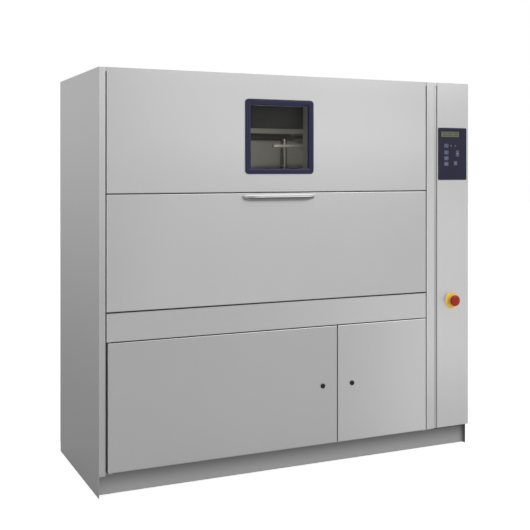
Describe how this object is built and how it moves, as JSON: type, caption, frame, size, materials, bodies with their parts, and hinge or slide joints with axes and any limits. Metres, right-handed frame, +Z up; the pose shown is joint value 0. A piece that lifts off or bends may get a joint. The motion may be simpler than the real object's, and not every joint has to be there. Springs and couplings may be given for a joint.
{
  "type": "cage and bottle washer",
  "caption": "Free-standing stainless steel cage and bottle washer with a drop-down loading door, viewing window, service doors and a control column.",
  "frame": {"origin": "on the floor, under the middle of the machine's bounding box, rear connections included", "axes": "+X to the right along the front, +Y from the front to the rear, +Z up; the doors face -Y"},
  "size_m": [2.088, 0.895, 2.04],
  "materials": {
    "panel_steel": "brushed stainless sheet",
    "chamber_steel": "satin stainless sheet",
    "frame_steel": "matt welded steel",
    "bright_steel": "polished stainless",
    "window_rubber": "smooth",
    "seal_rubber": "matt",
    "window_pane": "clear",
    "lock_black": "moulded",
    "panel_film": "printed film",
    "key_film": "embossed film",
    "display_pane": "clear window over a liquid crystal",
    "stop_yellow": "moulded",
    "stop_red": "moulded",
    "grey_plastic": "moulded",
    "motor_paint": "semi-gloss",
    "canister_plastic": "blow-moulded",
    "board_plate": "powder coat"
  },
  "bodies": {
    "cabinet": {"left_side_panel": "panel_steel", "right_side_panel": "panel_steel", "column_divider": "panel_steel", "top_panel": "panel_steel", "rear_panel": "panel_steel", "upper_front_panel": "panel_steel", "apron_panel": "panel_steel", "column_front_panel": "panel_steel", "plinth": "panel_steel", "wash_chamber": "chamber_steel", "sump_tank": "chamber_steel", "base_frame": "frame_steel", "front_frame": "frame_steel", "service_mullion": "frame_steel", "foot_front_left": "bright_steel", "foot_front_right": "bright_steel", "foot_rear_left": "bright_steel", "foot_rear_right": "bright_steel", "load_rack": "bright_steel", "sump_filter": "bright_steel", "heating_element": "bright_steel", "wash_pipework": "bright_steel", "suction_pipe": "bright_steel", "pump_volute": "bright_steel", "window_gasket": "window_rubber", "door_gasket": "seal_rubber", "window_glass": "window_pane", "control_panel": "panel_film", "display_window": "display_pane", "estop_collar": "stop_yellow", "drain_valve": "grey_plastic", "water_inlet_valve": "grey_plastic", "dosing_pump": "grey_plastic", "pump_motor": "motor_paint", "detergent_container_1": "canister_plastic", "detergent_container_2": "canister_plastic", "electrical_board": "board_plate"},
    "loading_door": {"loading_door_skin": "panel_steel", "loading_door_liner": "chamber_steel", "door_handle": "bright_steel", "door_hinge_shaft": "bright_steel", "left_door_stay": "bright_steel", "right_door_stay": "bright_steel"},
    "left_service_door": {"left_service_door": "panel_steel"},
    "right_service_door": {"right_service_door": "panel_steel"},
    "left_lock": {"left_door_lock": "lock_black"},
    "right_lock": {"right_door_lock": "lock_black"},
    "stop_stem": {"estop_stem": "grey_plastic"},
    "stop_head": {"estop_head": "stop_red"},
    "pump_rotor": {"pump_rotor": "bright_steel"},
    "lower_left_wash_arm": {"lower_left_wash_arm": "bright_steel"},
    "lower_right_wash_arm": {"lower_right_wash_arm": "bright_steel"},
    "upper_left_wash_arm": {"upper_left_wash_arm": "bright_steel"},
    "upper_right_wash_arm": {"upper_right_wash_arm": "bright_steel"},
    "key_program_1": {"key_program_1": "key_film"},
    "key_program_2": {"key_program_2": "key_film"},
    "key_program_3": {"key_program_3": "key_film"},
    "key_program_4": {"key_program_4": "key_film"},
    "key_select": {"key_select": "key_film"},
    "key_start": {"key_start": "key_film"}
  },
  "joints": [
    {"name": "loading_door_hinge", "type": "hinge", "parent": "cabinet", "child": "loading_door", "pos_m": [-0.121, -0.3905, 0.891], "axis": [1, 0, 0], "range_deg": [0, 90]},
    {"name": "left_service_door_hinge", "type": "hinge", "parent": "cabinet", "child": "left_service_door", "pos_m": [-0.99, -0.3935, 0.112], "axis": [0, 0, -1], "range_deg": [0, 105]},
    {"name": "right_service_door_hinge", "type": "hinge", "parent": "cabinet", "child": "right_service_door", "pos_m": [0.755, -0.3935, 0.112], "axis": [0, 0, 1], "range_deg": [0, 105]},
    {"name": "left_lock_turn", "type": "hinge", "parent": "left_service_door", "child": "left_lock", "pos_m": [0.129, -0.4025, 0.41], "axis": [0, -1, 0], "range_deg": [0, 90]},
    {"name": "right_lock_turn", "type": "hinge", "parent": "right_service_door", "child": "right_lock", "pos_m": [0.301, -0.4025, 0.41], "axis": [0, 1, 0], "range_deg": [0, 90]},
    {"name": "stop_press", "type": "slide", "parent": "cabinet", "child": "stop_stem", "axis": [0, 1, 0], "range_m": [0, 0.006], "stiffness_N_per_m": 600},
    {"name": "stop_twist", "type": "hinge", "parent": "stop_stem", "child": "stop_head", "pos_m": [0.935, -0.4025, 0.806], "axis": [0, 1, 0], "range_deg": [0, 30]},
    {"name": "pump_spin", "type": "hinge", "parent": "cabinet", "child": "pump_rotor", "pos_m": [-0.459, -0.0122, 0.245], "axis": [1, 0, 0], "continuous": true},
    {"name": "lower_left_arm_spin", "type": "hinge", "parent": "cabinet", "child": "lower_left_wash_arm", "pos_m": [-0.531, -0.0122, 0.903], "axis": [0, 0, 1], "continuous": true},
    {"name": "lower_right_arm_spin", "type": "hinge", "parent": "cabinet", "child": "lower_right_wash_arm", "pos_m": [0.289, -0.0122, 0.903], "axis": [0, 0, 1], "continuous": true},
    {"name": "upper_left_arm_spin", "type": "hinge", "parent": "cabinet", "child": "upper_left_wash_arm", "pos_m": [-0.531, -0.0122, 1.672], "axis": [0, 0, 1], "continuous": true},
    {"name": "upper_right_arm_spin", "type": "hinge", "parent": "cabinet", "child": "upper_right_wash_arm", "pos_m": [0.289, -0.0122, 1.672], "axis": [0, 0, 1], "continuous": true},
    {"name": "key_program_1_press", "type": "slide", "parent": "cabinet", "child": "key_program_1", "axis": [0, 1, 0], "range_m": [0, 0.0005], "stiffness_N_per_m": 400},
    {"name": "key_program_2_press", "type": "slide", "parent": "cabinet", "child": "key_program_2", "axis": [0, 1, 0], "range_m": [0, 0.0005], "stiffness_N_per_m": 400},
    {"name": "key_program_3_press", "type": "slide", "parent": "cabinet", "child": "key_program_3", "axis": [0, 1, 0], "range_m": [0, 0.0005], "stiffness_N_per_m": 400},
    {"name": "key_program_4_press", "type": "slide", "parent": "cabinet", "child": "key_program_4", "axis": [0, 1, 0], "range_m": [0, 0.0005], "stiffness_N_per_m": 400},
    {"name": "key_select_press", "type": "slide", "parent": "cabinet", "child": "key_select", "axis": [0, 1, 0], "range_m": [0, 0.0005], "stiffness_N_per_m": 400},
    {"name": "key_start_press", "type": "slide", "parent": "cabinet", "child": "key_start", "axis": [0, 1, 0], "range_m": [0, 0.0005], "stiffness_N_per_m": 400}
  ]
}
